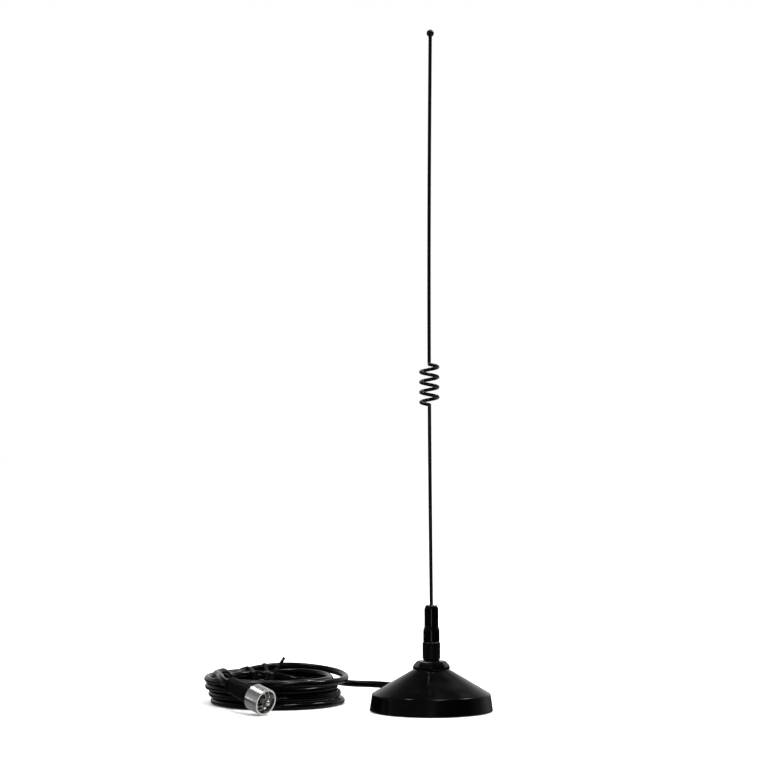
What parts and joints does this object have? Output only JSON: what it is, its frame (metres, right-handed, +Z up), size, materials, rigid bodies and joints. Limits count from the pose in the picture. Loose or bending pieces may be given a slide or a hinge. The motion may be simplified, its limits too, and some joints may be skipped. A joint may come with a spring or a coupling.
{
  "type": "omnidirectional antenna",
  "caption": "Magnetic-mount whip antenna with a phasing coil, turned ferrule, conical magnet base, coiled coaxial lead and screw-on plug.",
  "frame": {"origin": "on the whip's axis, on the flat underside of the base's pad", "axes": "+Z up along the whip, -Y towards the side that the plug lies on, -X towards the coiled lead"},
  "size_m": [0.208, 0.1491, 0.4826],
  "materials": {
    "rod_finish": "satin black coating",
    "ferrule_finish": "glossy black plating",
    "knurled_finish": "finely knurled black plating",
    "hub_plastic": "gloss black",
    "shell_paint": "satin black",
    "cable_jacket": "semi-gloss black vinyl",
    "boot_sleeve": "matt black sleeve",
    "seal_rubber": "matt black",
    "pad_rubber": "matt black",
    "tie_plastic": "black plastic over wire",
    "nickel_plate": "bright nickel plate",
    "zinc_plated_steel": "zinc plated",
    "black_oxide_steel": "black oxide",
    "brass": "bright",
    "copper": "bright copper",
    "nylon": "natural nylon",
    "polyethylene": "natural polyethylene",
    "phenolic": "black phenolic resin",
    "ferrite": "sintered ferrite"
  },
  "bodies": {
    "base": {"mount_stud": "zinc_plated_steel", "octagon_hub": "hub_plastic", "insulator_bush": "nylon", "insulator_washer": "nylon", "solder_tag": "brass", "lock_washer": "zinc_plated_steel", "stud_nut": "zinc_plated_steel", "base_shell": "shell_paint", "cable_grommet": "seal_rubber", "cable_clamp": "nylon", "clamp_screw": "zinc_plated_steel", "core_insulator": "polyethylene", "core_wire": "copper", "braid_pigtail": "copper", "ground_lug": "brass", "ground_screw": "zinc_plated_steel", "pole_plate": "zinc_plated_steel", "ring_magnet": "ferrite", "magnet_retainer": "nylon", "centre_spacer": "nylon", "floor_pad": "pad_rubber", "coax_cable": "cable_jacket", "twist_tie_left": "tie_plastic", "twist_tie_back": "tie_plastic", "plug_body": "nickel_plate", "plug_reducer": "nickel_plate", "plug_insulator": "phenolic", "centre_pin": "nickel_plate", "plug_core_wire": "copper", "plug_boot": "boot_sleeve"},
    "seal": {"seal_ring": "seal_rubber"},
    "ferrule": {"whip_ferrule": "ferrule_finish", "grip_ring": "knurled_finish"},
    "rod": {"whip_rod": "rod_finish", "ball_tip": "rod_finish"},
    "set_screw": {"set_screw": "black_oxide_steel"},
    "coupling_ring": {"coupling_ring": "nickel_plate"}
  },
  "joints": [
    {"name": "whip_lift", "type": "slide", "parent": "base", "child": "seal", "axis": [0, 0, 1], "range_m": [0, 0.011]},
    {"name": "whip_unscrew", "type": "hinge", "parent": "seal", "child": "ferrule", "pos_m": [0, 0, 0.04], "axis": [0, 0, 1], "range_deg": [0, 3402]},
    {"name": "whip_height", "type": "slide", "parent": "ferrule", "child": "rod", "axis": [0, 0, 1], "range_m": [0, 0.006]},
    {"name": "set_screw_turn", "type": "hinge", "parent": "ferrule", "child": "set_screw", "pos_m": [0, 0, 0.0631], "axis": [0.6157, -0.788, 0], "range_deg": [0, 360]},
    {"name": "coupling_ring_spin", "type": "hinge", "parent": "base", "child": "coupling_ring", "pos_m": [-0.1159, -0.0296, 0.00935], "axis": [0.6986, -0.669, -0.254], "continuous": true}
  ],
  "couplings": [
    {"joint": "whip_lift", "follows": "whip_unscrew", "m_per_rad": 0.00016844}
  ]
}
